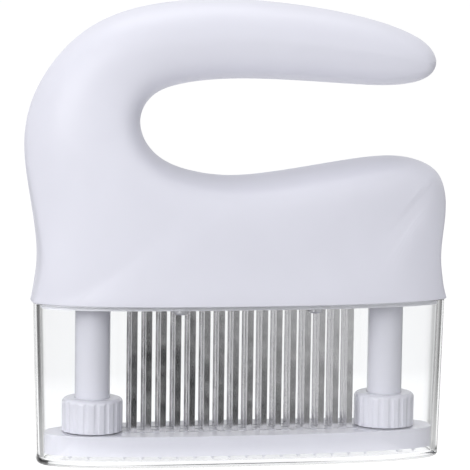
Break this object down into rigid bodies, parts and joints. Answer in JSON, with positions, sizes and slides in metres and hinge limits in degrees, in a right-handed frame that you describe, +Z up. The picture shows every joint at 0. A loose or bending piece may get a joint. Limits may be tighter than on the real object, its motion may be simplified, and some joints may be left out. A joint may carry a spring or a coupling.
{
  "type": "blade meat tenderizer",
  "caption": "Hand tool with a C-shaped white handle over three rows of thin steel blades, a sprung guard plate on two hollow columns, and a clear cover that lifts off downwards.",
  "frame": {"origin": "centre of the whole tool's plan box, at the underside of the clear cover that it stands on", "axes": "+Z up, +X towards the free tip of the grip, -Y is the pictured front"},
  "size_m": [0.14, 0.04, 0.1502],
  "materials": {
    "handle_plastic": "fine satin, slightly cool white",
    "frame_plastic": "satin, slightly cool white",
    "guard_plastic": "satin, slightly cool white",
    "clear_plastic": "clear, polished",
    "blade_steel": "rolled stainless strip",
    "fastener_steel": "plated",
    "spring_steel": "drawn wire"
  },
  "bodies": {
    "handle": {"handle_front_shell": "handle_plastic", "handle_back_shell": "handle_plastic", "base_frame": "frame_plastic", "blade_clamp_plate": "frame_plastic", "blade_row_front": "blade_steel", "blade_row_middle": "blade_steel", "blade_row_back": "blade_steel", "clamp_screws": "fastener_steel", "frame_screws": "fastener_steel", "left_spring_cap": "frame_plastic", "right_spring_cap": "frame_plastic", "left_spring": "spring_steel", "right_spring": "spring_steel"},
    "guard": {"guard_plate": "guard_plastic", "left_column": "guard_plastic", "right_column": "guard_plastic", "left_stop_ring": "fastener_steel", "right_stop_ring": "fastener_steel"},
    "nut_left": {"left_nut": "guard_plastic"},
    "nut_right": {"right_nut": "guard_plastic"},
    "cover": {"clear_cover": "clear_plastic"}
  },
  "joints": [
    {"name": "guard_stroke", "type": "slide", "parent": "handle", "child": "guard", "axis": [0, 0, 1], "range_m": [0, 0.026], "stiffness_N_per_m": 1100, "springref_m": -0.008, "deforming": ["left_spring", "right_spring"]},
    {"name": "left_nut_turn", "type": "hinge", "parent": "guard", "child": "nut_left", "pos_m": [-0.047, 0, 0.016], "axis": [0, 0, 1], "range_deg": [0, 330]},
    {"name": "right_nut_turn", "type": "hinge", "parent": "guard", "child": "nut_right", "pos_m": [0.05, 0, 0.016], "axis": [0, 0, 1], "range_deg": [0, 330]},
    {"name": "cover_lift_off", "type": "slide", "parent": "handle", "child": "cover", "axis": [0, 0, -1], "range_m": [0, 0.056]}
  ]
}
